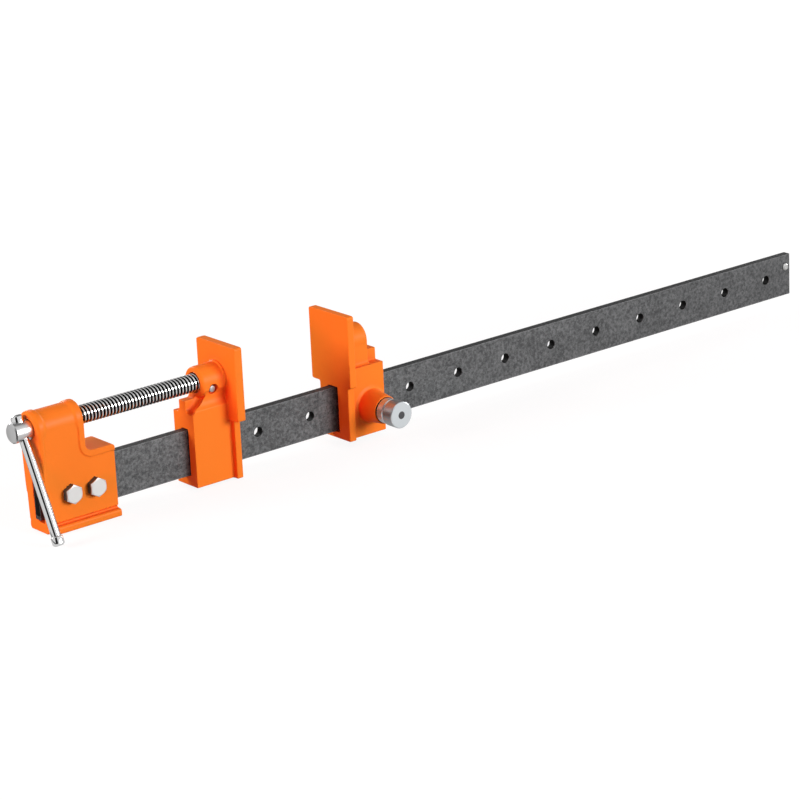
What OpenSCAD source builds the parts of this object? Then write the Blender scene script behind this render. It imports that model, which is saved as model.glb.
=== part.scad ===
// Bar clamp with a screw head, a sliding screw jaw and a plunger-locked tail jaw.
// Millimetres. Z is up and the bar runs along X. The origin is the middle of the
// fixed head's foot, and Y = 0 is the middle of the bar's thickness. The plunger's
// knob is on the -Y side.

/* [Bar] */
// Height of the flat bar
bar_h = 36; // [33:0.5:38]
// Thickness of the flat bar
bar_t = 6.5; // [5.5:0.25:7.5]
// Height of the middle of the bar above the table
bar_z = 27.5; // [26:0.5:30]
// Distance between neighbouring locking holes
hole_pitch = 50; // [46:1:60]
// Number of locking holes
hole_count = 12; // [8:1:14]
// Diameter of a locking hole
hole_d = 8; // [7.8:0.1:9]
// From the middle of the head to the first locking hole
first_hole = 167.75; // [164:0.25:180]
// From the last locking hole to the end of the bar
bar_tail = 29.25; // [28:0.25:40]
// Diameter of the stop pin's shank
stop_d = 4.5; // [3.5:0.25:5.5]
// Diameter of the stop pin's head
stop_head_d = 6; // [5.8:0.1:7.5]
// Distance from the stop pin to the end of the bar
stop_inset = 5.75; // [5:0.25:8]

/* [Fixed head] */
// Length of the head's foot
head_len = 61.5; // [58:0.5:66]
// Thickness of the head's walls, across the bar
head_t = 25; // [24:0.5:28]
// Height of the shelf beside the neck
shelf_z = 55.6; // [52:0.2:58]
// Distance from the middle of the foot to the neck's front
neck_x = 5.5; // [2:0.25:8]
// How far the top of the head overhangs its foot
head_lean = 2.2; // [0.6:0.2:3]
// Rounding of the head's back edges and of the back end of its boss
back_r = 1.8; // [1:0.2:4]
// Radius of the fillet between neck and shelf
notch_r = 6; // [4:0.5:7]
// Width of the raised rim along neck and shelf
rim_w = 4.8; // [3:0.2:6]
// How far rims and collars stand proud
rim_h = 1; // [0.6:0.1:1.6]
// Length of the collar at each end of the screw boss
collar_len = 5; // [4.5:0.5:8]
// How far the foot bead stands proud
bead_w = 3.2; // [2:0.2:4]
// Height of the foot bead
bead_h = 5.5; // [4:0.5:6.5]
// Distance between the two head bolts
bolt_pitch = 21; // [17:0.5:24]
// How far the bolts stand in front of the middle of the foot
bolt_shift = 1.1; // [0:0.1:2]

/* [Fasteners] */
// Shank diameter of the head bolts
bolt_d = 8; // [7:0.5:8]
// Width across the flats of bolt head and nut
hex_af = 13; // [12:0.5:14]
// Height of the bolt head
bolt_head_h = 5.3; // [4.5:0.1:6]
// Height of the nut
nut_h = 6.5; // [5.5:0.5:8]
// Thickness of the spring washer
washer_t = 2; // [1.5:0.25:2.5]

/* [Screw] */
// Outside diameter of the screw
screw_d = 14; // [12:0.5:15]
// Height of the screw's axis above the middle of the bar
screw_rise = 51.7; // [50:0.1:54]
// Length of the threaded rod from hub to shoulder
thread_len = 150.35; // [146:0.05:165]
// Diameter of the plain end that turns in the jaw
spigot_d = 10; // [9.5:0.1:11]
// Length of that plain end
spigot_len = 17.6; // [15:0.1:20]
// Diameter at the bottom of its retaining groove
groove_d = 5.6; // [5:0.1:5.6]
// Diameter of the hub at the handle
hub_d = 15; // [14.5:0.1:17]
// Length of the hub
hub_len = 14.3; // [14:0.1:17]
// Distance between the two flats spotted on the hub
hub_flats = 9.6; // [9:0.1:11]

/* [Handle] */
// Diameter of the sliding handle
handle_d = 7.4; // [6.5:0.1:8]
// Length between the handle's knobs
handle_grip = 84.5; // [70:0.1:84.5]
// Angle of the hanging handle from upright
handle_tilt = 26; // [20:1:40]
// From the middle of the hub to the handle, toward the head
handle_shift = 1.6; // [0:0.1:2]
// Diameter of a handle knob
grip_d = 9.2; // [8.6:0.1:10]
// Length of a handle knob
grip_len = 7; // [6:0.5:9]
// Diameter of the handle's riveted ends
rivet_d = 4.4; // [3.6:0.1:4.8]

/* [Jaws] */
// Width of the clamping plates
plate_w = 47.6; // [44:0.2:54]
// Thickness of the moving jaw's clamping plate
plate_t = 7.1; // [6:0.1:8]
// Thickness of the narrow foot of that plate
foot_t = 5.4; // [4.5:0.1:6]
// Height of the top of the clamping plates
plate_top = 105; // [100:0.5:112]
// Height at which the wide part of a plate begins
plate_low = 47.5; // [46.5:0.5:53]
// Rounding of the plates' corners
plate_r = 1.5; // [0.5:0.25:3]
// Length of the moving jaw along the bar
jaw_len = 39.6; // [38:0.1:43]
// Length of its boss, from the clamping face
boss_len = 28.6; // [28.2:0.1:32]
// Rounding of the open end of its boss
boss_r = 2.2; // [1.5:0.1:3.5]
// Diameter of a jaw's boss
boss_d = 24; // [22:0.5:26]
// From the middle of the bar to the near side of the moving jaw's body
jaw_near = 12; // [11:0.25:14]
// From the middle of the bar to the far side of the moving jaw's body
jaw_far = 13; // [11:0.25:14]
// Height of the moving jaw's body
jaw_top = 58; // [54:0.5:60]
// Radius of the hollow flanks under the boss
waist_r = 9; // [7:0.5:11]
// Depth of the hollow flanks under the boss
waist_cut = 3; // [2:0.25:4]
// Diameter of the pin that holds the screw in the jaw
pin_d = 4.2; // [3.8:0.1:4.2]
// From the clamping face back to that pin
pin_back = 18.9; // [18.3:0.1:19.9]
// How far that pin lies below the screw's axis
pin_drop = 5; // [5:0.05:5.4]

/* [Tail jaw] */
// Locking hole that the tail jaw stands at, counted from zero
tail_hole = 2; // [2:1:6]
// From the clamping face back to the plunger
plunger_back = 25.4; // [24.6:0.2:26]
// Thickness of the tail jaw's clamping plate
tail_plate_t = 6.3; // [5.5:0.1:7]
// Length of the tail jaw along the bar
tail_len = 39.2; // [38:0.1:43]
// Length of its boss, from the clamping face
tail_boss_len = 28.2; // [27.4:0.1:31]
// From the middle of the bar to the body's near side
tail_near = 16; // [14.5:0.1:17]
// Radius of the fillet between that side and the plate
tail_blend_r = 3.4; // [2:0.1:4]
// From the middle of the bar to the body's far side
tail_far = 12; // [11:0.25:14]
// Height of the tail jaw's body
tail_top = 60; // [58:0.5:62]
// Height of the tail jaw's underside
tail_low = 4.1; // [3:0.1:5]
// From the middle of the bar to the mouth of the plunger housing
mouth_y = 34.3; // [33.5:0.1:36]
// Diameter of the plunger housing at its foot
housing_d = 27; // [25:0.2:27.4]
// Diameter of the plunger housing at its mouth
mouth_d = 21.8; // [21.6:0.1:24]

/* [Plunger] */
// Diameter of the locking pin's tip
tip_d = 7.4; // [7:0.1:7.6]
// Diameter of the locking pin's stem
stem_d = 6; // [5:0.1:6.4]
// Diameter of the collar that the spring pushes on
collar_d = 11.8; // [11:0.1:12.4]
// Travel of the plunger
travel = 6.5; // [5:0.25:6.5]
// Diameter of the spring chamber
chamber_d = 13.2; // [13:0.1:14]
// Wire diameter of the spring
wire_d = 1.1; // [0.9:0.05:1.3]
// Number of turns of the spring
spring_turns = 4; // [3:1:4]
// Diameter of the grip of the knob
knob_d = 21; // [20.5:0.1:24]
// Diameter of the shank of the knob
knob_shank_d = 20; // [18.5:0.1:20]
// Length of the shank of the knob
knob_shank = 8; // [7.8:0.1:9]
// Length of the whole knob
knob_len = 18.6; // [16:0.1:22]

/* [Hidden] */
$fn = 96;

// Running clearance of a turned fit, on the radius
fit = 0.05;
// Clearance of a drilled hole round its bolt, on the radius
bolt_gap = 0.3;
// Gap left between a piece and the stop it rests on
seat = 0.2;
// Gap between the hub and the head when the screw is right in
hub_gap = 0.5;
// Gap round the screw in the cast mouth of the moving jaw
core_gap = 0.9;
// Overrun of every cut
over = 1;

// Colours
paint = "orangered";
dark_steel = "dimgray";
bright_steel = "silver";

// Places worked out from the sizes above
bolt_places = [bolt_shift - bolt_pitch/2, bolt_shift + bolt_pitch/2];
screw_z = bar_z + screw_rise;
head_left = -head_len/2 - head_lean;
bar_left = -head_len/2 - seat;
bar_right = first_hole + (hole_count - 1)*hole_pitch + bar_tail;
hub_right = head_left - hub_gap;
shoulder_x = hub_right + thread_len;
handle_x = hub_right - hub_len/2 + handle_shift;
jaw_bore_step = plate_t + spigot_len + seat + fit;
jaw_x = shoulder_x + seat + jaw_bore_step;
tail_x = first_hole + tail_hole*hole_pitch - plunger_back;

// Loose fit of a jaw on the bar, and the fit of the bar in the head
slide_gap = 0.8;
head_gap = 0.15;

// Underside of the moving jaw's body, and of its lower plate
jaw_low = 1.1;
jaw_foot = 0.9;
// Width of the moving jaw's lower plate
jaw_foot_w = 32.4;

// A block between two corners
module block(low, high) {
    translate(low) cube(high - low);
}

// A profile drawn in Y and Z, run along X
module along_x(from, to) {
    translate([from, 0, 0]) rotate([90, 0, 90]) linear_extrude(to - from) children();
}

// A profile drawn in X and Z, run along Y
module along_y(from, to) {
    translate([0, to, 0]) rotate([90, 0, 0]) linear_extrude(to - from) children();
}

// A round or tapered bar along X on the screw's axis
module turned_x(from, to, r1, r2) {
    translate([from, 0, screw_z]) rotate([0, 90, 0]) cylinder(h = to - from, r1 = r1, r2 = r2);
}

// A round bar along X on the screw's axis whose far end is rounded
module rounded_x(from, to, r, edge) {
    translate([from, 0, screw_z]) rotate([0, 90, 0]) rotate_extrude() difference() {
        square([r, to - from]);
        translate([r, to - from]) rotate(180) corner(edge);
    }
}

// A round or tapered bar along -Y on the plunger's axis, between two distances from the bar
module turned_y(from, to, r1, r2) {
    translate([0, -from, bar_z]) rotate([90, 0, 0]) cylinder(h = to - from, r1 = r1, r2 = r2);
}

// A drilled hole along Y through everything
module drill_y(x, z, d) {
    translate([x, 0, z]) rotate([90, 0, 0]) cylinder(h = 4*head_t, d = d, center = true);
}

// What rounds off a square corner: added in a hollow corner, cut from a full one
module corner(r) {
    difference() {
        square(r);
        translate([r, r]) circle(r);
    }
}

// Flat bar with its row of locking holes, the two bolt holes and the stop pin's hole
module bar() {
    color(dark_steel) difference() {
        block([bar_left, -bar_t/2, bar_z - bar_h/2], [bar_right, bar_t/2, bar_z + bar_h/2]);
        for (i = [0 : hole_count - 1]) drill_y(first_hole + i*hole_pitch, bar_z, hole_d);
        for (x = bolt_places) drill_y(x, bar_z, bolt_d + 2*bolt_gap);
        drill_y(bar_right - stop_inset, stop_z, stop_d + 2*fit);
    }
}

stop_rise_share = 0.2;
stop_z = bar_z + stop_rise_share*bar_h;
stop_head_h = 1.8;

// Pin with a low domed head that stops the tail jaw at the end of the bar
module stop_pin() {
    color(bright_steel) translate([bar_right - stop_inset, 0, stop_z]) rotate([90, 0, 0]) {
        translate([0, 0, -bar_t/2 - seat]) cylinder(h = bar_t + 2*seat, d = stop_d);
        translate([0, 0, bar_t/2 + fit]) {
            cylinder(h = stop_head_h/2, d = stop_head_d);
            translate([0, 0, stop_head_h/2])
                cylinder(h = stop_head_h/2, d1 = stop_head_d, d2 = stop_head_d - stop_head_h);
        }
    }
}

// Heights between which the rim down the head's back widens, and its width at the top
rim_low_share = 0.36;
rim_top_share = 0.86;
back_rim_w = 3.4;
// Length over which a collar slopes down to the boss
collar_ramp = 2;
edge_r = 3;
lean = atan(head_lean/screw_z);

// Where the leaning back of the head is at a share of the screw's height
function back_x(share) = -head_len/2 - head_lean*share;

// Side view of the head below the screw's axis
module head_outline() {
    difference() {
        polygon([[-head_len/2, 0], [head_len/2, 0], [head_len/2, shelf_z], [neck_x, shelf_z],
            [neck_x, screw_z], [head_left, screw_z]]);
        translate([head_len/2, shelf_z]) rotate(180) corner(edge_r);
        translate([-head_len/2, 0]) corner(edge_r);
    }
    translate([neck_x, shelf_z]) corner(notch_r);
}

// Raised rim down the neck, round the fillet and along the shelf
module rim_outline() {
    translate([neck_x - rim_w, shelf_z + notch_r]) square([rim_w, screw_rise - shelf_z + bar_z - notch_r]);
    intersection() {
        translate([neck_x + notch_r, shelf_z + notch_r]) difference() {
            circle(notch_r + rim_w);
            circle(notch_r);
        }
        translate([neck_x - rim_w, shelf_z - rim_w]) square(notch_r + rim_w);
    }
    difference() {
        translate([neck_x + notch_r, shelf_z - rim_w]) square([head_len/2 - neck_x - notch_r, rim_w]);
        translate([head_len/2, shelf_z]) rotate(180) corner(edge_r);
    }
}

// Rim down the back of the head, which dies away below the boss
module back_rim_outline() {
    polygon([[head_left, screw_z], [back_x(rim_low_share), rim_low_share*screw_z],
        [head_left + back_rim_w, rim_top_share*screw_z], [head_left + back_rim_w, screw_z]]);
}

// A block with the leaning back's two upright edges rounded, to cut those edges with
module back_edges(wall) {
    for (side = [0, 1]) mirror([0, side, 0]) translate([-head_len/2, wall, 0]) rotate([0, -lean, 0])
        translate([0, 0, -over]) linear_extrude(screw_z + over) difference() {
            translate([-over, -back_r]) square(back_r + over);
            translate([back_r, -back_r]) circle(back_r);
        }
}

// Foot bead on one side, seen from the end
module bead_outline() {
    square([head_t/2 + bead_w - bead_h/3, bead_h]);
    square([head_t/2 + bead_w, bead_h*2/3]);
    translate([head_t/2 + bead_w - bead_h/3, bead_h*2/3]) circle(bead_h/3);
}

// Depth and height of the groove above the foot bead
groove_cut = 1.2;
groove_h = 2.2;
// Inset of the bead from the back of the foot
bead_inset = 5.5;
// The pocket beside the bar's end
pocket_w = 4.9;
pocket_len = 12;
pocket_drop = 1.5;

module fixed_head() {
    color(paint) difference() {
        union() {
            difference() {
                along_y(-head_t/2, head_t/2) head_outline();
                back_edges(head_t/2);
            }
            difference() {
                along_y(-head_t/2 - rim_h, head_t/2 + rim_h) back_rim_outline();
                back_edges(head_t/2 + rim_h);
            }
            turned_x(head_left + collar_len, neck_x, head_t/2, head_t/2);
            mirror([1, 0, 0]) rounded_x(-head_left - collar_len, -head_left, head_t/2 + rim_h, back_r);
            turned_x(head_left + collar_len, head_left + collar_len + collar_ramp,
                head_t/2 + rim_h, head_t/2);
            turned_x(neck_x - collar_len, neck_x, head_t/2 + rim_h, head_t/2 + rim_h);
            turned_x(neck_x - collar_len - collar_ramp, neck_x - collar_len,
                head_t/2, head_t/2 + rim_h);
            along_y(-head_t/2 - rim_h, head_t/2 + rim_h) rim_outline();
            along_x(-head_len/2 + bead_inset, head_len/2 + rim_h/2) {
                bead_outline();
                mirror([1, 0]) bead_outline();
            }
        }
        for (side = [-1, 1]) scale([1, side, 1])
            block([-head_len, head_t/2 - groove_cut, bead_h], [head_len, head_t, bead_h + groove_h]);
        block([-head_len, -bar_t/2 - head_gap, bar_z - bar_h/2 - head_gap],
            [head_len, bar_t/2 + head_gap, bar_z + bar_h/2 + head_gap]);
        block([-head_len, -bar_t/2 - pocket_w, bar_z - bar_h/2 - pocket_drop],
            [-head_len/2 + pocket_len, 0, bar_z + bar_h/2 + head_gap]);
        for (x = bolt_places) drill_y(x, bar_z, bolt_d + 2*bolt_gap);
        turned_x(head_left - over, neck_x + over, screw_d/2 + fit, screw_d/2 + fit);
    }
}

// Hexagon across the flats, with a flat on top
module hex(height) {
    rotate(30) cylinder(h = height, d = hex_af/cos(30), $fn = 6);
}

// The cone that crowns a bolt head or nut, at its foot and at its top, as shares of the flats
crown_foot_share = 1.15;
crown_top_share = 0.94;

// Rounded crown cut off the corners of a bolt head or nut
module crowned_hex(height) {
    crown = height/6;
    intersection() {
        hex(height);
        union() {
            cylinder(h = height - crown, d = 2*hex_af);
            translate([0, 0, height - crown])
                cylinder(h = crown, d1 = hex_af*crown_foot_share, d2 = hex_af*crown_top_share);
        }
    }
}

bolt_end = head_t/2 + washer_t + nut_h;

// Two hexagon bolts through head and bar, heads on the near side
module head_bolts() {
    shank_end = bolt_end + bolt_d/4;
    color(bright_steel) for (x = bolt_places) translate([x, 0, bar_z]) rotate([90, 0, 0]) {
        translate([0, 0, head_t/2 + fit]) crowned_hex(bolt_head_h);
        translate([0, 0, -shank_end]) cylinder(h = shank_end + head_t/2 + 2*fit, d = bolt_d);
    }
}

// Two nuts on the far side
module head_nuts() {
    color(bright_steel) for (x = bolt_places)
        translate([x, head_t/2 + washer_t + 2*fit, bar_z]) rotate([-90, 0, 0]) difference() {
            crowned_hex(nut_h);
            translate([0, 0, -over]) cylinder(h = nut_h + 2*over, d = bolt_d + 2*fit);
        }
}

// Two split spring washers under the nuts
module head_washers() {
    slit = washer_t/2;
    color(dark_steel) for (x = bolt_places)
        translate([x, head_t/2 + fit, bar_z]) rotate([-90, 0, 0]) difference() {
            cylinder(h = washer_t, d = bolt_d + 3*washer_t);
            translate([0, 0, -over]) cylinder(h = washer_t + 2*over, d = bolt_d + 4*fit);
            translate([0, -slit/2, -over]) cube([bolt_d + washer_t, slit, washer_t + 2*over]);
        }
}

// Turns a piece drawn along Z into the hanging handle's line, through the hub
module on_handle() {
    translate([handle_x, 0, screw_z]) rotate([-handle_tilt, 0, 0]) children();
}

chamfer = 1;

// Screw with its hub, plain shoulder end and retaining groove
module screw() {
    pin_at = jaw_x - pin_back;
    groove_w = pin_d + 2*seat;
    color(bright_steel) difference() {
        union() {
            turned_x(hub_right - hub_len, hub_right - hub_len + chamfer, hub_d/2 - chamfer, hub_d/2);
            turned_x(hub_right - hub_len + chamfer, hub_right - chamfer/2, hub_d/2, hub_d/2);
            turned_x(hub_right - chamfer/2, hub_right, hub_d/2, hub_d/2 - chamfer/2);
            turned_x(hub_right, shoulder_x, screw_d/2, screw_d/2);
            turned_x(shoulder_x, pin_at - groove_w/2, spigot_d/2, spigot_d/2);
            turned_x(pin_at - groove_w/2, pin_at + groove_w/2, groove_d/2, groove_d/2);
            turned_x(pin_at + groove_w/2, shoulder_x + spigot_len - chamfer, spigot_d/2, spigot_d/2);
            turned_x(shoulder_x + spigot_len - chamfer, shoulder_x + spigot_len,
                spigot_d/2, spigot_d/2 - chamfer);
        }
        on_handle() {
            cylinder(h = 2*hub_d, d = handle_d + 2*fit, center = true);
            for (side = [0, 180]) rotate([side, 0, 0])
                translate([0, 0, hub_flats/2]) cylinder(h = hub_d, d = grip_d + chamfer);
        }
    }
}

grip_top = hub_flats/2 + seat;
grip_low = grip_top - handle_grip;

// Sliding handle, turned down at both ends for its knobs
module handle_bar() {
    color(bright_steel) on_handle() {
        translate([0, 0, grip_low]) cylinder(h = handle_grip, d = handle_d);
        translate([0, 0, grip_low - grip_len]) cylinder(h = handle_grip + 2*grip_len, d = rivet_d);
    }
}

// One handle knob: a short bored cylinder, chamfered at its outer end
module handle_knob() {
    color(bright_steel) rotate_extrude() polygon([
        [rivet_d/2 + fit, fit], [grip_d/2 - chamfer/2, fit], [grip_d/2, chamfer/2],
        [grip_d/2, grip_len - 1.5*chamfer], [grip_d/2 - 1.5*chamfer, grip_len],
        [rivet_d/2 + fit, grip_len]]);
}

module handle_knob_upper() {
    on_handle() translate([0, 0, grip_top]) handle_knob();
}

module handle_knob_lower() {
    on_handle() translate([0, 0, grip_low]) rotate([180, 0, 0]) handle_knob();
}

// Outline of the wide part of a jaw's clamping plate, seen along the bar
module plate_outline() {
    difference() {
        translate([-plate_w/2, plate_low]) square([plate_w, plate_top - plate_low]);
        for (side = [0, 1]) mirror([side, 0]) {
            translate([-plate_w/2, plate_low]) corner(plate_r);
            translate([-plate_w/2, plate_top]) rotate(270) corner(plate_r);
        }
    }
}

// Outline of the narrow foot under it, whose sides are near and far
module foot_outline(near, far, low) {
    translate([-near, low]) square([near + far, plate_low - low + over]);
    translate([-near, plate_low]) rotate(180) corner(plate_r);
    translate([far, plate_low]) rotate(270) corner(plate_r);
}

// Boss behind a jaw's plate on the screw's axis, with a ring at its foot and a rounded
// end. x runs back from the clamping face.
module boss(root, length, edge, ring) {
    rounded_x(root - over, length, boss_d/2, edge);
    turned_x(root - over, root + ring, boss_d/2 + chamfer, boss_d/2 + chamfer);
}

// The tunnel that slides on the bar, with the near wall set back by a given gap
module bar_tunnel(from, to, near_gap) {
    block([from, -bar_t/2 - near_gap, bar_z - bar_h/2 - slide_gap/2],
        [to, bar_t/2 + slide_gap, bar_z + bar_h/2 + slide_gap/2]);
}

// The rib behind the neck of the moving jaw
rib_near = 2.2;
rib_far = 5.8;
rib_inset = 0.2;
rib_top_share = 0.45;
jaw_rib_top = jaw_top + rib_top_share*(screw_z - jaw_top);
// Radius of the fillets along the rib's foot
rib_r = 4;
// Height from which the neck's back slopes down to the end of the body
slope_share = 0.6;
// Radius of the hollows down that slope, one on each side of the rib
hollow_r = 4;

// A hollow down the slope of the neck's back, at a distance from the middle of the bar
module slope_hollow(y) {
    rise = slope_share*(screw_z - jaw_top);
    run = jaw_len - boss_len;
    translate([jaw_len, y, jaw_top]) rotate([0, -atan(run/rise), 0]) translate([0, 0, -hollow_r])
        cylinder(h = norm([run, rise]) + 2*hollow_r, r = hollow_r);
}

// Neck under the moving jaw's boss: hollow on both flanks and sloping down at its back
module jaw_neck() {
    root = plate_t - over;
    back = jaw_len - rib_inset;
    waist = boss_d/2 + waist_r - waist_cut;
    intersection() {
        along_x(root, jaw_len) difference() {
            translate([-boss_d/2, jaw_top - over]) square([boss_d, screw_z - jaw_top + over]);
            for (side = [-1, 1]) translate([side*waist, jaw_top + waist_r + chamfer/2]) circle(waist_r);
        }
        along_y(-boss_d, boss_d) polygon([[root, jaw_top - over], [back, jaw_top - over], [back, jaw_top],
            [boss_len, jaw_top + slope_share*(screw_z - jaw_top)], [boss_len - boss_r, screw_z],
            [root, screw_z]]);
    }
}

// The rib behind the neck, with a fillet along each side of its foot
module jaw_rib() {
    back = jaw_len - rib_inset;
    block([plate_t, -rib_near, jaw_top - over], [back, rib_far, jaw_rib_top]);
    along_x(boss_len - boss_r, back) {
        translate([-rib_near, jaw_top]) mirror([1, 0]) corner(rib_r);
        translate([rib_far, jaw_top]) corner(rib_r);
    }
}

// Wide mouth of the hole that the jaw pin is driven in through, and its depth at each side
pin_mouth_d = 8;
pin_mouth = 5;
pin_back_mouth = 2.6;
// The pin's head in that mouth, and how far it stays below the side of the boss
pin_head_d = 5.4;
pin_head_drop = 1.7;

// Jaw that the screw pushes, with a bore for the screw's plain end
module moving_jaw() {
    color(paint) difference() {
        translate([jaw_x, 0, 0]) mirror([1, 0, 0]) {
            along_x(0, plate_t) plate_outline();
            along_x(0, foot_t) foot_outline(jaw_foot_w/2, jaw_foot_w/2, jaw_foot);
            block([foot_t - over, -jaw_near, jaw_low], [jaw_len, jaw_far, jaw_top]);
            difference() {
                jaw_neck();
                slope_hollow(-rib_near - hollow_r);
                slope_hollow(rib_far + hollow_r);
            }
            jaw_rib();
            boss(plate_t, boss_len, boss_r, 2*chamfer);
        }
        bar_tunnel(jaw_x - jaw_len - over, jaw_x + over, slide_gap);
        turned_x(jaw_x - jaw_len, jaw_x - jaw_bore_step, screw_d/2 + core_gap, screw_d/2 + core_gap);
        turned_x(jaw_x - jaw_bore_step - over, jaw_x - plate_t, spigot_d/2 + fit, spigot_d/2 + fit);
        drill_y(jaw_x - pin_back, screw_z - pin_drop, pin_d + 2*fit);
        translate([jaw_x - pin_back, -boss_d/2 + pin_mouth, screw_z - pin_drop])
            rotate([90, 0, 0]) cylinder(h = boss_d, d = pin_mouth_d);
    }
}

// Headed cross pin whose upper side runs in the screw's groove
module jaw_pin() {
    head = pin_mouth - pin_head_drop - seat;
    color(bright_steel) translate([jaw_x - pin_back, -boss_d/2 + pin_mouth - seat, screw_z - pin_drop]) {
        rotate([-90, 0, 0]) cylinder(h = boss_d - pin_mouth - pin_back_mouth + seat, d = pin_d);
        rotate([90, 0, 0]) {
            cylinder(h = head - chamfer/2, d = pin_head_d);
            translate([0, 0, head - chamfer/2])
                cylinder(h = chamfer/2, d1 = pin_head_d, d2 = pin_head_d - chamfer);
        }
    }
}

// Sides of the foot of the tail jaw's plate
tail_foot_near = 20.4;
tail_foot_far = 14.2;
// The web behind the tail jaw's neck
tail_web_near = 7.6;
tail_web_far = 5;
tail_web_top = 69.7;
web_inset = 0.3;
// How far the neck's flanks lie inside the boss, and the fillet at their foot
neck_inset = 0.4;
neck_fillet = 2.5;
// Ring round the foot of the plunger's housing
ring_w = 1.2;
ring_h = 0.7;
// Length of the ring at the foot of the tail jaw's boss
tail_ring = 4.2;

// Relief of the tunnel's near wall, at the clamping face only
relief_w = 4;
relief_len = 5;

// Plunger layout, as distances from the middle of the bar on the near side
tip_guide = 2.95;
wall_y = bar_t/2 + slide_gap + tip_guide;
tip_y = bar_t/2 + seat;
collar_y = wall_y + travel + seat;
collar_t = 2;
bush_len = 4;
mouth_gap = 0.5;
recess_y = mouth_y - travel - mouth_gap;
knob_y = mouth_y + seat;

// Body of the tail jaw, with a fillet between its near side and the plate
module tail_body() {
    block([tail_plate_t - over, -tail_near, tail_low], [tail_len, tail_far, tail_top]);
    translate([tail_plate_t, -tail_near, tail_low]) linear_extrude(tail_top - tail_low)
        mirror([0, 1]) corner(tail_blend_r);
}

// Straight-sided neck under the tail jaw's boss, filleted onto the body
module tail_neck() {
    half = boss_d/2 - neck_inset;
    along_x(tail_plate_t - over, tail_boss_len) {
        translate([-half, tail_top - over]) square([2*half, screw_z - tail_top + over]);
        translate([half, tail_top]) corner(neck_fillet);
        translate([-half, tail_top]) mirror([1, 0]) corner(neck_fillet);
    }
}

// Jaw that the plunger locks to the bar, with the plunger's housing on its near side
module tail_jaw() {
    axis_x = tail_x + plunger_back;
    color(paint) difference() {
        union() {
            translate([tail_x, 0, 0]) {
                along_x(0, tail_plate_t) {
                    plate_outline();
                    foot_outline(tail_foot_near, tail_foot_far, tail_low);
                }
                tail_body();
                tail_neck();
                block([tail_plate_t, -tail_web_near, tail_top - over],
                    [tail_len - web_inset, tail_web_far, tail_web_top]);
                boss(tail_plate_t, tail_boss_len, chamfer, tail_ring);
                intersection() {
                    translate([plunger_back, 0, 0]) turned_y(tail_near - over, tail_near + ring_h,
                        housing_d/2 + ring_w, housing_d/2 + ring_w);
                    block([0, -2*tail_near, 0], [tail_len, 0, tail_top]);
                }
            }
            translate([axis_x, 0, 0]) turned_y(tail_near - over, mouth_y, housing_d/2, mouth_d/2);
        }
        bar_tunnel(tail_x - over, tail_x + tail_len + over, slide_gap);
        bar_tunnel(tail_x - over, tail_x + relief_len, relief_w);
        translate([axis_x, 0, 0]) {
            turned_y(0, mouth_y, tip_d/2 + fit, tip_d/2 + fit);
            turned_y(wall_y, mouth_y, chamber_d/2, chamber_d/2);
            turned_y(recess_y, mouth_y + over, knob_shank_d/2 + 2*fit, knob_shank_d/2 + 2*fit);
        }
    }
}

// Ring that closes the spring chamber and guides the stem
module plunger_bush() {
    color(bright_steel) translate([tail_x + plunger_back, 0, 0]) difference() {
        turned_y(recess_y - bush_len, recess_y, chamber_d/2 - fit/2, chamber_d/2 - fit/2);
        turned_y(0, 2*mouth_y, stem_d/2 + fit, stem_d/2 + fit);
    }
}

spring_from = collar_y + collar_t + fit;
spring_to = recess_y - bush_len - fit;
coil_r = (stem_d/2 + chamber_d/2)/2;
rings_per_turn = 20;
wire_sides = 8;

// One point of the spring: its place along the coil and its place round the wire
function coil_point(step, side) =
    let (turn = 360*step/rings_per_turn, round = 360*side/wire_sides,
        r = coil_r + wire_d/2*cos(round),
        climb = (spring_to - spring_from - wire_d)*step/(rings_per_turn*spring_turns))
    [r*cos(turn), r*sin(turn), spring_from + wire_d/2 + climb + wire_d/2*sin(round)];

// Open coil round the stem, drawn as one wire swept along a helix
module plunger_spring() {
    steps = rings_per_turn*spring_turns;
    points = [for (i = [0 : steps]) for (j = [0 : wire_sides - 1]) coil_point(i, j)];
    walls = [for (i = [0 : steps - 1]) for (j = [0 : wire_sides - 1]) for (half = [0, 1])
        let (a = i*wire_sides + j, b = i*wire_sides + (j + 1) % wire_sides)
        half == 0 ? [a, b, b + wire_sides] : [a, b + wire_sides, a + wire_sides]];
    first = [for (j = [1 : wire_sides - 2]) [0, j + 1, j]];
    end = steps*wire_sides;
    last = [for (j = [1 : wire_sides - 2]) [end, end + j, end + j + 1]];
    color(dark_steel) translate([tail_x + plunger_back, 0, bar_z]) rotate([90, 0, 0])
        polyhedron(points = points, faces = concat(walls, first, last));
}

// Locking pin in one piece: tip, spring collar and the stem that carries the knob
module plunger_pin() {
    color(dark_steel) translate([tail_x + plunger_back, 0, 0]) {
        turned_y(tip_y, tip_y + chamfer, tip_d/2 - chamfer/2, tip_d/2);
        turned_y(tip_y + chamfer, collar_y, tip_d/2, tip_d/2);
        turned_y(collar_y, collar_y + collar_t, collar_d/2, collar_d/2);
        turned_y(collar_y + collar_t, knob_y + knob_len - fit, stem_d/2, stem_d/2);
    }
}

// Pull knob: a polished shank with a groove behind a wider grip
module plunger_knob() {
    shank = knob_shank_d/2;
    grip = knob_d/2;
    bevel = 0.6*chamfer;
    color("lightgray") translate([tail_x + plunger_back, -knob_y, bar_z]) rotate([90, 0, 0]) rotate_extrude()
        polygon([[stem_d/2 + fit, 0], [shank - bevel, 0], [shank, bevel], [shank, knob_shank - 3*bevel],
            [shank - chamfer, knob_shank - bevel], [shank, knob_shank], [grip - bevel/2, knob_shank],
            [grip, knob_shank + bevel/2], [grip, knob_len - bevel], [grip - bevel, knob_len],
            [stem_d/2 + fit, knob_len]]);
}

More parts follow.
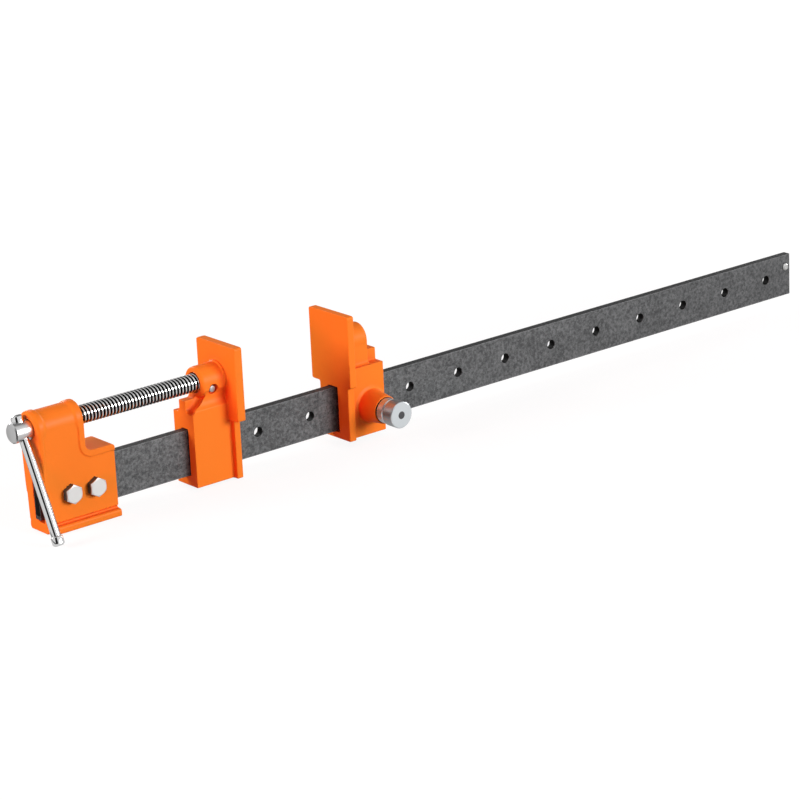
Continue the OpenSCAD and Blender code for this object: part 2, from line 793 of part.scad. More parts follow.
bar();
fixed_head();
head_bolts();
head_nuts();
head_washers();
stop_pin();
screw();
handle_bar();
handle_knob_upper();
handle_knob_lower();
moving_jaw();
jaw_pin();
tail_jaw();
plunger_bush();
plunger_spring();
plunger_pin();
plunger_knob();
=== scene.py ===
"""Flat-bar clamp: rounded painted castings, a trapezoidal screw thread, turned and
plated fittings and a rolled steel bar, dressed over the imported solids."""

from math import ceil, cos, pi, radians, sin

import bmesh
import bpy
from bpy.props import FloatProperty, FloatVectorProperty, IntProperty, PointerProperty
from bpy.types import Operator, Panel, PropertyGroup
from mathutils import Matrix, Vector


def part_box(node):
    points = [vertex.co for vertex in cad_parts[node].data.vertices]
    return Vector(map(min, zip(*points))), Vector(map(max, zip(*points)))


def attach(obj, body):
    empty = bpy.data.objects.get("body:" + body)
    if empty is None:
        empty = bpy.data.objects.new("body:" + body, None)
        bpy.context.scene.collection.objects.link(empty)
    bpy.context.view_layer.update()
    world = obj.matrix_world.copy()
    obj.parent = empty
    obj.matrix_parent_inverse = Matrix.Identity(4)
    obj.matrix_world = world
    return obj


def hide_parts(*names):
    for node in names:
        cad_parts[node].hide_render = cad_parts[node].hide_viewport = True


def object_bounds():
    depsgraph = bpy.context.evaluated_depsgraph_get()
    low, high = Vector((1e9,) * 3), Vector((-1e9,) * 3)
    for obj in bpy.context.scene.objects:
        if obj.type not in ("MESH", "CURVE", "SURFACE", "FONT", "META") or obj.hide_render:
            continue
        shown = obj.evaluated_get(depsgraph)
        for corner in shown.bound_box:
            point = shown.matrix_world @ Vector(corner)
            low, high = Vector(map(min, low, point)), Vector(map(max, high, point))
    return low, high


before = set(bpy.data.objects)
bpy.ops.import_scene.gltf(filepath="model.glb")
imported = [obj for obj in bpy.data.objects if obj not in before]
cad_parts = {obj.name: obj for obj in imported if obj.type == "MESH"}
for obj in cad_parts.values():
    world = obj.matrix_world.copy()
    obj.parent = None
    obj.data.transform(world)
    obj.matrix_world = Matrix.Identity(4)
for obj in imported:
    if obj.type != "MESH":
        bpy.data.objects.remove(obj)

CAD_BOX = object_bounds()

bl_info = {
    "name": "Flat-bar clamp",
    "version": (1, 0, 0),
    "blender": (4, 5, 0),
    "location": "View3D > Sidebar > Clamp",
    "description": "Dresses the flat-bar clamp and sets its studio",
    "category": "Object",
}

MM = 0.001
SCREW_LOW, SCREW_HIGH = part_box("screw")
BAR_LOW, BAR_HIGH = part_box("bar")
KNOB_LOW, KNOB_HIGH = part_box("plunger_knob")
MERGE = 0.002 * MM
THREAD_MERGE = 0.005 * MM
CUT_REACH = 0.0005 * MM
CORNER = radians(35.0)
MACHINED = radians(18.0)
THREADED = radians(30.0)
WHITE = (1.0, 1.0, 1.0)
FLOOR_GAP = 0.5 * MM
FLOOR_GLOW = 1.08
FLOOR_GLOW_SHARE = 0.82
STUDIO_SHADE = 0.92
STRIP_FADE = (0.925, 0.95)
BEHIND_FADE = (0.35, 0.85)
STRIP_TURN = radians(16.0)
LAMP_AIM = (0.15, 0.0, 0.05)
# Name, place, width and height, power, colour, and whether reflections show the lamp
LAMPS = (
    ("key", (1.1, -2.3, 0.75), (1.2, 0.9), 59.0, WHITE, True),
    ("front", (0.2, -2.4, 0.5), (1.4, 0.8), 8.0, WHITE, True),
    ("side", (-1.9, 0.45, 0.85), (0.9, 0.7), 42.0, (1.0, 0.90, 0.88), False),
    ("glow", (-2.1, -0.7, 0.35), (0.8, 0.5), 20.0, (1.0, 0.16, 0.14), False),
    ("back", (0.5, 2.4, 0.8), (1.2, 0.8), 30.0, WHITE, True),
    ("far", (2.4, 0.4, 0.5), (0.9, 0.7), 20.0, WHITE, True),
)


# Sizes and colours


def length(name, description, default):
    return FloatProperty(name=name, description=description, default=default, min=0.0,
                         precision=5, unit="LENGTH")


def colour(name, description, default):
    return FloatVectorProperty(name=name, description=description, default=default,
                               size=3, min=0.0, max=1.0, subtype="COLOR")


def share(name, description, default):
    return FloatProperty(name=name, description=description, default=default, min=0.0,
                         max=1.0, subtype="FACTOR")


class ClampCastings(PropertyGroup):
    grain: length("Mesh size", "Size of the faces that a casting's skin is made of", 0.5 * MM)
    rounding: IntProperty(name="Rounding", description="Passes that round a casting's edges",
                          default=4, min=0, max=20)
    paint: colour("Paint", "Orange enamel of the castings", (0.93, 0.222, 0.020))
    # Painted shade: the enamel turns to this deep red in creases, standing in for the shade there.
    crease_shade: colour("Painted crease shade", "Enamel down in the creases", (0.84, 0.085, 0.018))
    gloss: share("Paint roughness", "Roughness of the enamel", 0.40)


class ClampScrew(PropertyGroup):
    lead: length("Lead", "Travel of the screw in one turn", 3.0 * MM)
    diameter: length("Diameter", "Outside diameter of the thread", 14.0 * MM)
    depth: length("Thread depth", "Depth of the thread groove", 1.55 * MM)
    flank: length("Flank", "Width of one sloping flank along the screw", 0.55 * MM)
    relief: length("Relief", "Plain turned length between hub and thread", 0.7 * MM)
    hub: length("Hub", "Length of the hub that carries the handle", 14.3 * MM)
    tail: length("Plain end", "Length of the plain end that turns in the jaw", 17.6 * MM)
    steps: IntProperty(name="Steps", description="Faces round one turn of the thread",
                       default=48, min=12, max=96)
    plate: colour("Plating", "Bright plate of screw and handle", (0.80, 0.80, 0.80))
    gloss: share("Plating roughness", "Roughness of the bright plate", 0.09)


class ClampFittings(PropertyGroup):
    edge: length("Edge", "Rounding of turned edges", 0.35 * MM)
    zinc: colour("Zinc", "Zinc plate of the bolts", (0.66, 0.66, 0.65))
    grip: length("Grip", "Length of the knob's grip in front of its groove", 10.6 * MM)
    alloy: colour("Alloy", "Turned alloy of the plunger's knob", (0.66, 0.70, 0.72))
    bare: colour("Bare steel", "Ground steel of the jaw's cross pin", (0.42, 0.42, 0.43))
    steel: colour("Steel", "Plain steel of pins and spring", (0.09, 0.09, 0.095))


class ClampBar(PropertyGroup):
    edge: length("Edge", "Rounding of the rolled bar's corners", 0.45 * MM)
    scale: colour("Mill scale", "Dark skin of the rolled bar", (0.078, 0.080, 0.082))
    worn: colour("Worn steel", "Bare steel where the skin is rubbed", (0.30, 0.305, 0.31))


class ClampStage(PropertyGroup):
    azimuth: FloatProperty(name="Azimuth", description="Turn of the view from straight on",
                           default=radians(-38.838), subtype="ANGLE")
    elevation: FloatProperty(name="Elevation", description="Height of the view",
                             default=radians(18.118), subtype="ANGLE")
    roll: FloatProperty(name="Roll", description="Tilt of the picture",
                        default=radians(-2.7074), subtype="ANGLE")
    place: FloatVectorProperty(name="Camera", description="Place of the camera",
                               default=(-1.17257, -1.84099, 0.79104), size=3,
                               subtype="TRANSLATION", unit="LENGTH")
    lens: FloatProperty(name="Lens", description="Focal length in millimetres on a 36 mm frame",
                        default=142.188, min=10.0)
    floor: colour("Floor", "Colour of floor and backdrop", (0.92, 0.92, 0.92))
    world: share("Surround", "Strength of the even light from all round", 0.12)
    warmth: colour("Surround colour", "Colour of the even light in the shade", (1.0, 0.62, 0.64))
    bounce: share("Bounce", "How much light the floor throws back on the clamp", 0.12)
    dark: share("Dark side", "Brightness of the studio's dark strip in reflections", 0.02)
    behind: share("Behind", "Brightness of the studio behind the clamp in reflections", 0.22)


# Materials


def added(tree, kind, **settings):
    """A new shader node with its settings."""
    node = tree.nodes.new("ShaderNode" + kind)
    for name, value in settings.items():
        setattr(node, name, value)
    return node


def dimmed(shade, amount):
    """A darker colour."""
    return tuple(value * amount for value in shade)


class Recipe:
    """A material and short ways to add and join its nodes."""

    def __init__(self, name):
        self.material = bpy.data.materials.new(name)
        self.material.use_nodes = True
        self.tree = self.material.node_tree
        self.tree.nodes.clear()
        self.shader = added(self.tree, "BsdfPrincipled")
        output = added(self.tree, "OutputMaterial")
        self.join(self.shader, "BSDF", output, "Surface")
        self.place = added(self.tree, "TexCoord")

    def join(self, source, out, target, into):
        self.tree.links.new(source.outputs[out], target.inputs[into])

    def mapped(self, scale, offset=(0.0, 0.0, 0.0)):
        node = added(self.tree, "Mapping", vector_type="POINT")
        node.inputs["Scale"].default_value = scale
        node.inputs["Location"].default_value = offset
        self.join(self.place, "Object", node, "Vector")
        return node

    def parts(self, source=None):
        """The three coordinates of a place on the clamp, or of a mapped one."""
        node = added(self.tree, "SeparateXYZ")
        if source:
            self.join(source, "Vector", node, "Vector")
        else:
            self.join(self.place, "Object", node, "Vector")
        return node

    def noise(self, scale, detail=4.0, rough=0.55, stretch=(1.0, 1.0, 1.0)):
        node = added(self.tree, "TexNoise")
        node.inputs["Scale"].default_value = scale
        node.inputs["Detail"].default_value = detail
        node.inputs["Roughness"].default_value = rough
        self.join(self.mapped(stretch), "Vector", node, "Vector")
        return node

    def ramp(self, source, out, stops):
        """Spreads a value between two stops, each a position and a brightness."""
        node = added(self.tree, "ValToRGB")
        for element, (position, value) in zip(node.color_ramp.elements, stops):
            element.position = position
            element.color = (value, value, value, 1.0)
        self.join(source, out, node, "Fac")
        return node

    def mix(self, factor, first, second):
        """Mixes two colours; each is a colour or a (node, socket) pair, and so is factor."""
        node = added(self.tree, "Mix", data_type="RGBA")
        for index, value in ((0, factor), (6, first), (7, second)):
            if isinstance(value, tuple) and hasattr(value[0], "outputs"):
                self.tree.links.new(value[0].outputs[value[1]], node.inputs[index])
            else:
                node.inputs[index].default_value = (*value, 1.0)
        return (node, 2)

    def maths(self, operation, first, second=0.0, clamp=False):
        """Works on two values; each is a number or a (node, socket) pair."""
        node = added(self.tree, "Math", operation=operation, use_clamp=clamp)
        for index, value in ((0, first), (1, second)):
            if isinstance(value, tuple):
                self.tree.links.new(value[0].outputs[value[1]], node.inputs[index])
            else:
                node.inputs[index].default_value = value
        return (node, 0)

    def colour(self, pair):
        self.tree.links.new(pair[0].outputs[pair[1]], self.shader.inputs["Base Color"])

    def rough(self, pair, low, high):
        node = added(self.tree, "MapRange")
        node.inputs["To Min"].default_value = low
        node.inputs["To Max"].default_value = high
        self.tree.links.new(pair[0].outputs[pair[1]], node.inputs["Value"])
        self.join(node, "Result", self.shader, "Roughness")

    def bump(self, pair, height, strength=1.0, under=None):
        node = added(self.tree, "Bump")
        node.inputs["Strength"].default_value = strength
        node.inputs["Distance"].default_value = height
        self.tree.links.new(pair[0].outputs[pair[1]], node.inputs["Height"])
        if under:
            self.join(under, "Normal", node, "Normal")
        self.join(node, "Normal", self.shader, "Normal")
        return node

    def finished(self, values):
        """The material, with even values set on its shader."""
        for name, value in values.items():
            self.shader.inputs[name].default_value = value
        return self.material


def enamel(sizes):
    """Glossy orange enamel over a sand casting, a little uneven in tone and surface, with painted
    shade in its creases.
    """
    recipe = Recipe("enamel")
    paint = tuple(sizes.paint)
    cloud = recipe.noise(28.0, 3.0)
    tone = recipe.mix((cloud, "Fac"), dimmed(paint, 0.92), paint)
    # Painted shade: ambient occlusion mixes the deep red into the enamel in creases and hollows,
    # standing in for shade.
    crease_shade_ao = added(recipe.tree, "AmbientOcclusion", samples=8, only_local=True)
    crease_shade_ao.inputs["Distance"].default_value = 0.04
    unshaded_share = recipe.ramp(crease_shade_ao, "AO", ((0.30, 0.0), (0.80, 1.0)))
    recipe.colour(recipe.mix((unshaded_share, "Color"), tuple(sizes.crease_shade), tone))
    fine = recipe.noise(900.0, 2.0)
    recipe.rough((fine, "Fac"), sizes.gloss - 0.04, sizes.gloss + 0.06)
    sand = recipe.bump((recipe.noise(420.0, 3.0), "Fac"), 0.06 * MM, 0.55)
    recipe.bump((recipe.noise(75.0, 2.0), "Fac"), 0.25 * MM, 0.5, sand)
    return recipe.finished({"Specular IOR Level": 0.13})


def mill_scale(sizes):
    """Dark rolled skin, speckled with bare metal and worn at the bar's long edges, darker on its
    narrow faces, and painted near black as shade in its holes and on its ends.
    """
    recipe = Recipe("mill_scale")
    scale, worn = tuple(sizes.scale), tuple(sizes.worn)
    speck = recipe.ramp(recipe.noise(450.0, 8.0, 0.72), "Fac", ((0.40, 0.0), (0.66, 1.0)))
    cloud = recipe.ramp(recipe.noise(60.0, 4.0, 0.6, (0.5, 1.0, 1.0)), "Fac",
                        ((0.30, 0.0), (0.75, 1.0)))
    skin = recipe.mix((speck, "Color"), scale, dimmed(worn, 0.66))
    shade = recipe.mix((speck, "Color"), dimmed(scale, 0.7), dimmed(worn, 0.5))
    patch = recipe.mix((cloud, "Color"), shade, skin)
    parts = recipe.parts()
    middle = (BAR_LOW[2] + BAR_HIGH[2]) / 2
    half = (BAR_HIGH[2] - BAR_LOW[2]) / 2
    rub_reach, narrow_reach, hole_reach, skin_depth = 0.9 * MM, 0.12 * MM, 3.0 * MM, 0.6 * MM
    away = recipe.maths("ABSOLUTE", recipe.maths("SUBTRACT", (parts, "Z"), middle))
    edge = recipe.maths("MULTIPLY", recipe.maths("SUBTRACT", away, half - rub_reach),
                        1100.0, True)
    rub = recipe.maths("MULTIPLY", edge, (recipe.noise(130.0, 4.0), "Fac"), True)
    face = recipe.mix(rub, patch, worn)
    # The narrow top and bottom faces are painted darker.
    narrow = recipe.maths("GREATER_THAN", away, half - narrow_reach)
    rolled = recipe.mix(narrow, face, dimmed(scale, 0.6))
    # Painted shade: the walls of the locking holes and the bar's end faces are painted near black,
    # standing in for the shade there.
    inner = recipe.maths("LESS_THAN", recipe.maths("ABSOLUTE", (parts, "Y")),
                         BAR_HIGH[1] - skin_depth)
    hole_wall_shade = recipe.maths("MULTIPLY", inner, recipe.maths("LESS_THAN", away, half - hole_reach))
    recipe.colour(recipe.mix(hole_wall_shade, rolled, (0.004, 0.004, 0.004)))
    recipe.rough((speck, "Color"), 0.66, 0.50)
    recipe.bump((recipe.noise(1100.0, 5.0, 0.7), "Fac"), 0.08 * MM, 0.7)
    return recipe.finished({"Metallic": 0.75, "Specular IOR Level": 0.2})


def plated_recipe(name, plate, roughness, spread):
    """Plated metal with faint haze and fine polishing marks."""
    recipe = Recipe(name)
    haze = recipe.noise(160.0, 3.0)
    recipe.colour(recipe.mix((haze, "Fac"), dimmed(plate, 0.93), tuple(plate)))
    grain = recipe.noise(700.0, 4.0)
    recipe.rough((grain, "Fac"), roughness - spread / 2, roughness + spread)
    recipe.bump((recipe.noise(300.0, 2.0), "Fac"), 0.02 * MM, 0.15)
    return recipe


def plated(name, plate, roughness, spread):
    return plated_recipe(name, plate, roughness, spread).finished({"Metallic": 1.0})


def screw_plate(sizes, axis_height, start):
    """Bright plate, with painted shade near black towards the thread's root, and duller on the
    plain turned hub.
    """
    recipe = plated_recipe("screw_plate", sizes.plate, sizes.gloss, 0.04)
    parts = recipe.parts()
    lift = recipe.maths("SUBTRACT", (parts, "Z"), axis_height)
    squares = recipe.maths("ADD", recipe.maths("MULTIPLY", lift, lift),
                           recipe.maths("MULTIPLY", (parts, "Y"), (parts, "Y")))
    out = recipe.maths("SQRT", squares)
    root = sizes.diameter / 2 - sizes.depth
    # Painted shade: the thread darkens to near black towards its root, standing in for the shade
    # between the turns.
    groove = added(recipe.tree, "MapRange")
    recipe.tree.links.new(out[0].outputs[0], groove.inputs["Value"])
    groove.inputs["From Min"].default_value = root + 0.6 * sizes.depth
    groove.inputs["From Max"].default_value = root + 0.97 * sizes.depth
    bright = recipe.shader.inputs["Base Color"].links[0].from_node
    root_shaded_thread = recipe.mix((groove, "Result"), (0.02, 0.02, 0.02), (bright, 2))
    hub = recipe.maths("LESS_THAN", (parts, "X"), start)
    recipe.colour(recipe.mix(hub, root_shaded_thread, (0.60, 0.60, 0.60)))
    grain = recipe.shader.inputs["Roughness"].links[0].from_node
    dull = recipe.maths("ADD", (grain, "Result"), recipe.maths("MULTIPLY", hub, 0.2))
    recipe.tree.links.new(dull[0].outputs[0], recipe.shader.inputs["Roughness"])
    return recipe.finished({"Metallic": 1.0})


def bolt_plate(sizes, face):
    """Zinc plate that is bright on the faces of bolts and nuts, with painted shade down their
    sides.
    """
    recipe = plated_recipe("zinc_plate", sizes.zinc, 0.38, 0.08)
    parts = recipe.parts()
    face_depth, metal_face, metal_drop = 0.9 * MM, 0.75, 0.7
    # Painted shade: below the faces, the sides are painted dark and made less metallic, standing
    # in for the shade on them.
    depth = recipe.maths("SUBTRACT", face, recipe.maths("ABSOLUTE", (parts, "Y")))
    side = recipe.maths("MULTIPLY", recipe.maths("SUBTRACT", depth, face_depth), 2500.0, True)
    bright = recipe.shader.inputs["Base Color"].links[0].from_node
    recipe.colour(recipe.mix(side, (bright, 2), (0.05, 0.085, 0.09)))
    metal = recipe.maths("SUBTRACT", metal_face, recipe.maths("MULTIPLY", side, metal_drop))
    recipe.tree.links.new(metal[0].outputs[0], recipe.shader.inputs["Metallic"])
    return recipe.material


def turned(name, alloy, roughness, centre, face, groove):
    """Lathe-turned alloy with fine rings round the plunger's axis, painted darker on the grip."""
    recipe = Recipe(name)
    from_centre = recipe.mapped((1.0, 1.0, 1.0), tuple(-value for value in centre))
    parts = recipe.parts(from_centre)
    squares = recipe.maths("ADD", recipe.maths("MULTIPLY", (parts, "X"), (parts, "X")),
                           recipe.maths("MULTIPLY", (parts, "Z"), (parts, "Z")))
    along = recipe.maths("ADD", recipe.maths("SQRT", squares), (parts, "Y"))
    rings = added(recipe.tree, "TexNoise", noise_dimensions="1D")
    rings.inputs["Scale"].default_value = 4200.0
    rings.inputs["Detail"].default_value = 2.0
    recipe.tree.links.new(along[0].outputs[0], rings.inputs["W"])
    bright = recipe.mix((rings, "Fac"), dimmed(alloy, 0.88), tuple(alloy))
    # The grip is painted darker than the face and the shank.
    dull = recipe.mix((rings, "Fac"), dimmed(alloy, 0.56), dimmed(alloy, 0.70))
    behind_face = recipe.maths("GREATER_THAN", (parts, "Y"), face + 0.4 * MM)
    grip = recipe.maths("MULTIPLY", behind_face, recipe.maths("LESS_THAN", (parts, "Y"), groove))
    recipe.colour(recipe.mix(grip, bright, dull))
    recipe.rough((rings, "Fac"), roughness - 0.05, roughness + 0.08)
    recipe.bump((rings, "Fac"), 0.02 * MM, 0.5)
    return recipe.finished({"Metallic": 0.92})


# Mesh work


def new_piece(name, mesh, body, slot, material, *nodes):
    """Makes a finished piece of a bmesh, on a body, in place of CAD nodes."""
    data = bpy.data.meshes.new(name)
    mesh.to_mesh(data)
    mesh.free()
    data.materials.append(material)
    piece = bpy.data.objects.new(name, data)
    bpy.context.scene.collection.objects.link(piece)
    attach(piece, body)
    if nodes:
        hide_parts(*nodes)
    return piece


def copied(node):
    """A merged copy of a CAD node's triangles."""
    mesh = bmesh.new()
    mesh.from_mesh(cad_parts[node].data)
    bmesh.ops.remove_doubles(mesh, verts=mesh.verts, dist=MERGE)
    return mesh


def soften(mesh, angle):
    """Smooth shading, with edges kept hard past an angle."""
    for face in mesh.faces:
        face.smooth = True
    for edge in mesh.edges:
        edge.smooth = not (len(edge.link_faces) == 2 and edge.calc_face_angle(0.0) > angle)


def settle(piece):
    """Applies a piece's modifiers to its mesh."""
    graph = bpy.context.evaluated_depsgraph_get()
    graph.update()
    shape = bpy.data.meshes.new_from_object(piece.evaluated_get(graph))
    materials = [slot.material for slot in piece.material_slots]
    piece.modifiers.clear()
    piece.data = shape
    if not shape.materials:
        for material in materials:
            shape.materials.append(material)
    return piece


def cast_skin(name, node, body, slot, material, sizes):
    """A casting: the solid's shape on an even mesh whose edges are worn round."""
    piece = new_piece(name, copied(node), body, slot, material, node)
    even = piece.modifiers.new("even", "REMESH")
    even.mode = "VOXEL"
    even.voxel_size = sizes.grain
    even.use_smooth_shade = True
    worn = piece.modifiers.new("worn", "SMOOTH")
    worn.factor = 0.5
    worn.iterations = sizes.rounding
    settle(piece)
    for face in piece.data.polygons:
        face.use_smooth = True
    return piece


def closed_cut(mesh, place, keep):
    """Cuts a mesh square across the screw, keeps one side and closes the cut."""
    everything = mesh.verts[:] + mesh.edges[:] + mesh.faces[:]
    bmesh.ops.bisect_plane(mesh, geom=everything, dist=CUT_REACH,
                           plane_co=(place, 0.0, 0.0), plane_no=(keep, 0.0, 0.0), clear_inner=True)
    rim = [edge for edge in mesh.edges if len(edge.link_faces) == 1]
    bmesh.ops.holes_fill(mesh, edges=rim, sides=0)
    return mesh


def thread(sizes, start, end, height):
    """Right-hand trapezoidal thread about the screw's axis, cut square at both ends."""
    mesh = bmesh.new()
    crest = sizes.diameter / 2
    root = crest - sizes.depth
    flat = sizes.lead / 2 - sizes.flank
    worn = 0.15 * sizes.depth
    turns = ceil((end - start) / sizes.lead) + 2
    outline = ((0.0, root), (flat, root), (flat + 0.85 * sizes.flank, crest - worn),
               (flat + sizes.flank + worn / 2, crest), (2 * flat + sizes.flank - worn / 2, crest),
               (2 * flat + 1.15 * sizes.flank, crest - worn), (sizes.lead, root))
    points = [mesh.verts.new((start - sizes.lead + along, 0.0, height + out))
              for along, out in outline]
    lines = [mesh.edges.new(pair) for pair in zip(points, points[1:])]
    bmesh.ops.spin(mesh, geom=points + lines, cent=(0.0, 0.0, height), axis=(1.0, 0.0, 0.0),
                   dvec=(sizes.lead / sizes.steps, 0.0, 0.0), angle=2 * pi * turns,
                   steps=sizes.steps * turns, use_merge=False, use_normal_flip=False,
                   use_duplicate=False)
    bmesh.ops.remove_doubles(mesh, verts=mesh.verts, dist=THREAD_MERGE)
    closed_cut(mesh, start, 1.0)
    closed_cut(mesh, end, -1.0)
    bmesh.ops.recalc_face_normals(mesh, faces=mesh.faces)
    return mesh


def joined(*parts):
    """One bmesh made of several."""
    whole = bmesh.new()
    for part in parts:
        data = bpy.data.meshes.new("part")
        part.to_mesh(data)
        part.free()
        whole.from_mesh(data)
        bpy.data.meshes.remove(data)
    return whole


def bevelled(mesh, width):
    """Breaks the sharp edges of a merged copy of a machined piece."""
    bmesh.ops.dissolve_limit(mesh, angle_limit=radians(0.6), verts=mesh.verts, edges=mesh.edges)
    if width > 0.0:
        sharp = [edge for edge in mesh.edges
                 if len(edge.link_faces) == 2 and edge.calc_face_angle(0.0) > CORNER]
        bmesh.ops.bevel(mesh, geom=sharp, offset=width, offset_type="OFFSET", segments=2,
                        profile=0.5, affect="EDGES", clamp_overlap=True, material=-1)
    return mesh


def broken_edges(name, node, body, slot, material, width=0.0):
    """A machined piece: the solid's shape with its sharp edges broken."""
    mesh = bevelled(copied(node), width)
    soften(mesh, MACHINED)
    return new_piece(name, mesh, body, slot, material, node)


# Pieces


class ClampOperator:
    bl_options = {"REGISTER", "UNDO"}


class CLAMP_OT_castings(ClampOperator, Operator):
    """Fixed head, moving jaw and tail jaw: sand castings under orange enamel"""
    bl_idname = "clamp.castings"
    bl_label = "Castings"

    def execute(self, context):
        sizes = context.scene.clamp_castings
        material = enamel(sizes)
        for node, body in (("fixed_head", "clamp_body"), ("moving_jaw", "moving_jaw"),
                           ("tail_jaw", "tail_jaw")):
            cast_skin(node + "_casting", node, body, "paint", material, sizes)
        return {"FINISHED"}


class CLAMP_OT_bar(ClampOperator, Operator):
    """Flat rolled bar with its locking holes"""
    bl_idname = "clamp.bar"
    bl_label = "Bar"

    def execute(self, context):
        sizes = context.scene.clamp_bar
        broken_edges("flat_bar", "bar", "clamp_body", "mill_steel", mill_scale(sizes), sizes.edge)
        return {"FINISHED"}


class CLAMP_OT_screw(ClampOperator, Operator):
    """Screw with its hub, a trapezoidal thread and the plain end in the jaw"""
    bl_idname = "clamp.screw"
    bl_label = "Screw"

    def execute(self, context):
        sizes = context.scene.clamp_screw
        height = (SCREW_LOW[2] + SCREW_HIGH[2]) / 2
        start = SCREW_LOW[0] + sizes.hub + sizes.relief
        material = screw_plate(sizes, height, start)
        end = SCREW_HIGH[0] - sizes.tail - sizes.relief
        edge = context.scene.clamp_fittings.edge
        hub = closed_cut(bevelled(copied("screw"), edge), start, -1.0)
        tail = closed_cut(bevelled(copied("screw"), edge / 2), end, 1.0)
        mesh = joined(hub, thread(sizes, start, end, height), tail)
        soften(mesh, THREADED)
        new_piece("screw_turned", mesh, "screw", "bright", material, "screw")
        return {"FINISHED"}


class CLAMP_OT_handle(ClampOperator, Operator):
    """Sliding handle with its two knobs"""
    bl_idname = "clamp.handle"
    bl_label = "Handle"

    def execute(self, context):
        sizes = context.scene.clamp_screw
        edge = context.scene.clamp_fittings.edge
        material = plated("bright_plate", sizes.plate, sizes.gloss, 0.05)
        for node in ("handle_bar", "handle_knob_upper", "handle_knob_lower"):
            broken_edges(node + "_plated", node, "handle", "bright", material, edge * 0.8)
        return {"FINISHED"}


class CLAMP_OT_fasteners(ClampOperator, Operator):
    """Bolts, nuts and washers of the head, the bar's stop pin and the jaw's cross pin"""
    bl_idname = "clamp.fasteners"
    bl_label = "Fasteners"

    def execute(self, context):
        sizes = context.scene.clamp_fittings
        zinc = plated("bright_zinc", sizes.zinc, 0.36, 0.08)
        for node in ("head_bolts", "head_nuts"):
            low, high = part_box(node)
            plate = bolt_plate(sizes, -low[1] if node == "head_bolts" else high[1])
            broken_edges(node + "_plated", node, "clamp_body", "zinc", plate)
        for node in ("head_washers", "stop_pin"):
            broken_edges(node + "_plated", node, "clamp_body", "zinc", zinc)
        bare = plated("bare_steel", sizes.bare, 0.30, 0.08)
        broken_edges("jaw_pin_driven", "jaw_pin", "moving_jaw", "pin_steel", bare, sizes.edge * 2)
        return {"FINISHED"}


class CLAMP_OT_plunger(ClampOperator, Operator):
    """Plunger: pull knob, locking pin, spring and the ring that closes its chamber"""
    bl_idname = "clamp.plunger"
    bl_label = "Plunger"

    def execute(self, context):
        sizes = context.scene.clamp_fittings
        centre = ((KNOB_LOW[0] + KNOB_HIGH[0]) / 2, 0.0, (KNOB_LOW[2] + KNOB_HIGH[2]) / 2)
        alloy = turned("turned_alloy", sizes.alloy, 0.34, centre, KNOB_LOW[1],
                       KNOB_LOW[1] + sizes.grip)
        steel = plated("plain_steel", sizes.steel, 0.38, 0.08)
        broken_edges("plunger_knob_turned", "plunger_knob", "plunger", "turned_alloy", alloy)
        broken_edges("plunger_pin_ground", "plunger_pin", "plunger", "pin_steel", steel)
        broken_edges("plunger_bush_turned", "plunger_bush", "tail_jaw", "pin_steel", steel)
        broken_edges("plunger_spring_coil", "plunger_spring", "tail_jaw", "pin_steel", steel)
        return {"FINISHED"}


# Stage


def view_frame(sizes):
    """Right, up and forward directions of the photograph's view."""
    turn, lift, roll = sizes.azimuth, sizes.elevation, sizes.roll
    forward = Vector((-sin(turn) * cos(lift), cos(turn) * cos(lift), -sin(lift)))
    level = Vector((cos(turn), sin(turn), 0.0))
    up = level.cross(forward)
    right = level * cos(roll) + up * sin(roll)
    return right, up * cos(roll) - level * sin(roll), forward


def softbox(name, place, size, power, shade, mirrored):
    """A soft rectangular lamp that looks at the clamp."""
    data = bpy.data.lights.new(name, "AREA")
    data.shape = "RECTANGLE"
    data.size, data.size_y = size
    data.energy = power
    data.color = shade
    lamp = bpy.data.objects.new(name, data)
    direction = Vector(LAMP_AIM) - Vector(place)
    lamp.rotation_mode = "QUATERNION"
    lamp.rotation_quaternion = direction.to_track_quat("-Z", "Y")
    lamp.location = place
    lamp.visible_glossy = mirrored
    bpy.context.scene.collection.objects.link(lamp)


def studio_side(tree, vector, socket, ahead, aside, sizes):
    """Colour of the studio in a direction: bright, but for a dark strip and the side behind."""
    level = added(tree, "VectorMath", operation="MULTIPLY")
    level.inputs[1].default_value = (1.0, 1.0, 0.0)
    tree.links.new(vector.outputs[socket], level.inputs[0])
    even = added(tree, "VectorMath", operation="NORMALIZE")
    tree.links.new(level.outputs[0], even.inputs[0])
    both = added(tree, "VectorMath", operation="MULTIPLY")
    sides = ((aside, STRIP_FADE, sizes.dark), (ahead, BEHIND_FADE, sizes.behind))
    for index, (toward, fade, value) in enumerate(sides):
        facing = added(tree, "VectorMath", operation="DOT_PRODUCT")
        facing.inputs[1].default_value = toward
        tree.links.new(even.outputs[0], facing.inputs[0])
        ramp = added(tree, "ValToRGB")
        stops = zip(ramp.color_ramp.elements, fade, (STUDIO_SHADE, value))
        for element, position, shade in stops:
            element.position = position
            element.color = (shade, shade, shade, 1.0)
        tree.links.new(facing.outputs["Value"], ramp.inputs["Fac"])
        tree.links.new(ramp.outputs[0], both.inputs[index])
    return both


def mix_colour(tree, factor, first, second):
    """Mixes two colours in a node tree; each is a colour or a node whose first output is one."""
    node = added(tree, "Mix", data_type="RGBA")
    tree.links.new(factor, node.inputs[0])
    for index, value in ((6, first), (7, second)):
        if isinstance(value, tuple):
            node.inputs[index].default_value = (*value, 1.0)
        else:
            tree.links.new(value.outputs[0], node.inputs[index])
    return node


def mix_shader(tree, factor, first, second):
    """Mixes the first outputs of two shader nodes."""
    node = added(tree, "MixShader")
    for index, socket in enumerate((factor, first.outputs[0], second.outputs[0])):
        tree.links.new(socket, node.inputs[index])
    return node


def empty_tree(owner):
    owner.use_nodes = True
    owner.node_tree.nodes.clear()
    return owner.node_tree


